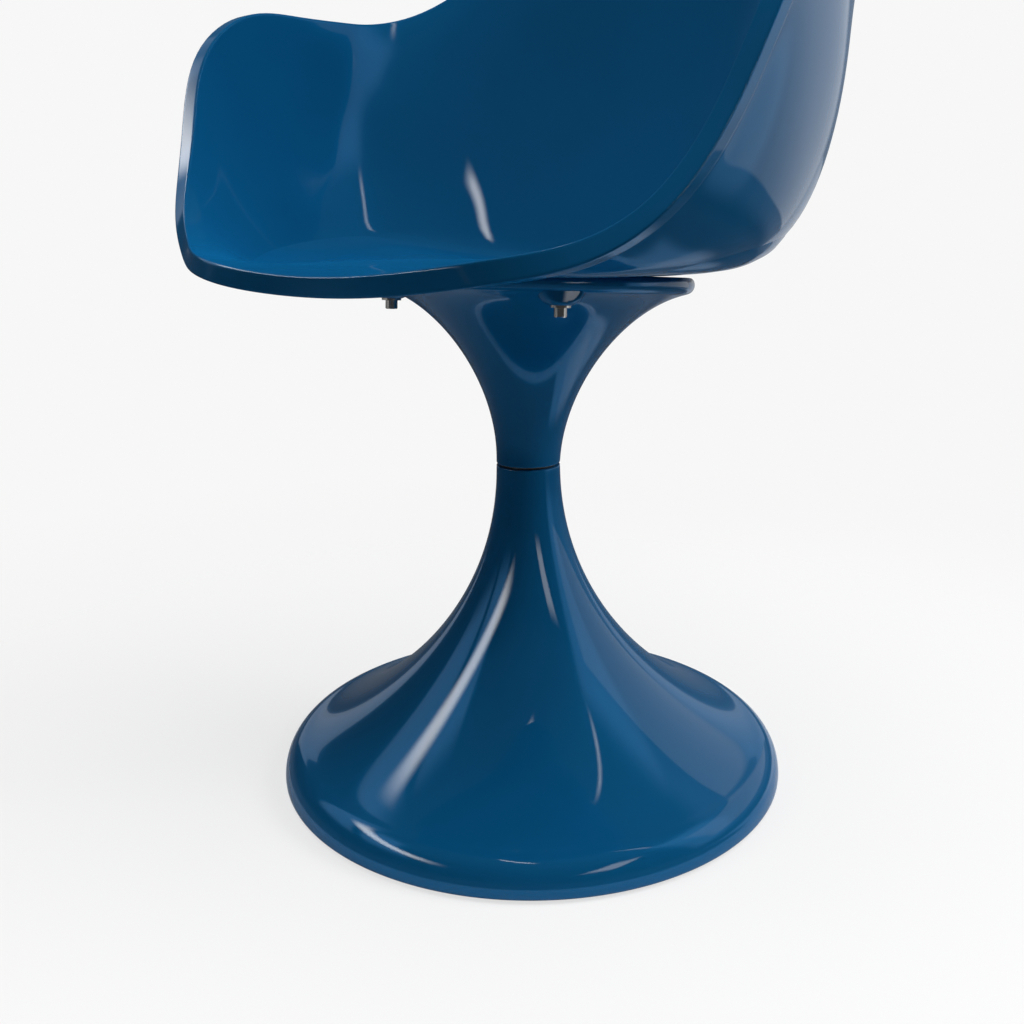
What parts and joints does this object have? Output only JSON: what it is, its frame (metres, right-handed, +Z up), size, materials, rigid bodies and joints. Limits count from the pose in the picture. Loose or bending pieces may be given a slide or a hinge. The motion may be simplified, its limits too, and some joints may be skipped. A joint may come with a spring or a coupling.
{
  "type": "swivel tulip armchair",
  "caption": "Bare moulded armchair shell with a rolled rim, turning on a two part trumpet pedestal with a round foot.",
  "frame": {"origin": "on the floor, on the swivel axis of the pedestal", "axes": "+Z up along the swivel axis, the front of the seat towards -Y, +X to the sitter's left"},
  "size_m": [0.5352, 0.4977, 0.8089],
  "materials": {
    "lacquer": "deep gloss petrol blue pigmented lacquer over moulded glass fibre",
    "black_steel": "satin black stoved paint on welded steel",
    "bright_steel": "turned and ground bright steel",
    "screw_steel": "bright stainless steel fasteners",
    "nylon": "natural moulded nylon",
    "rubber": "black moulded rubber",
    "cast_iron": "grey cast iron, primed",
    "brass": "turned brass"
  },
  "bodies": {
    "pedestal": {"base_shell": "lacquer", "base_plate": "black_steel", "ballast_ring": "cast_iron", "foot_ring": "rubber", "post_tube": "black_steel", "top_bush": "nylon", "low_bush": "nylon", "lower_race": "black_steel", "slip_washer": "nylon", "base_screw_1": "screw_steel", "base_screw_2": "screw_steel", "base_screw_3": "screw_steel", "base_screw_4": "screw_steel", "post_gusset_1": "black_steel", "post_gusset_2": "black_steel", "post_gusset_3": "black_steel", "post_gusset_4": "black_steel"},
    "seat": {"upper_race": "black_steel", "spindle": "bright_steel", "retaining_washer": "bright_steel", "spindle_clip": "bright_steel", "hub": "black_steel", "hub_pin": "bright_steel", "mounting_plate": "black_steel", "seat_support": "lacquer", "seat_shell": "lacquer", "hub_rib_1": "black_steel", "hub_rib_2": "black_steel", "hub_rib_3": "black_steel", "hub_rib_4": "black_steel", "seat_screw_1": "screw_steel", "seat_washer_1": "screw_steel", "seat_insert_1": "brass", "seat_screw_2": "screw_steel", "seat_washer_2": "screw_steel", "seat_insert_2": "brass", "seat_screw_3": "screw_steel", "seat_washer_3": "screw_steel", "seat_insert_3": "brass"}
  },
  "joints": [
    {"name": "swivel", "type": "hinge", "parent": "pedestal", "child": "seat", "pos_m": [0, 0, 0.2812], "axis": [0, 0, 1], "continuous": true}
  ]
}
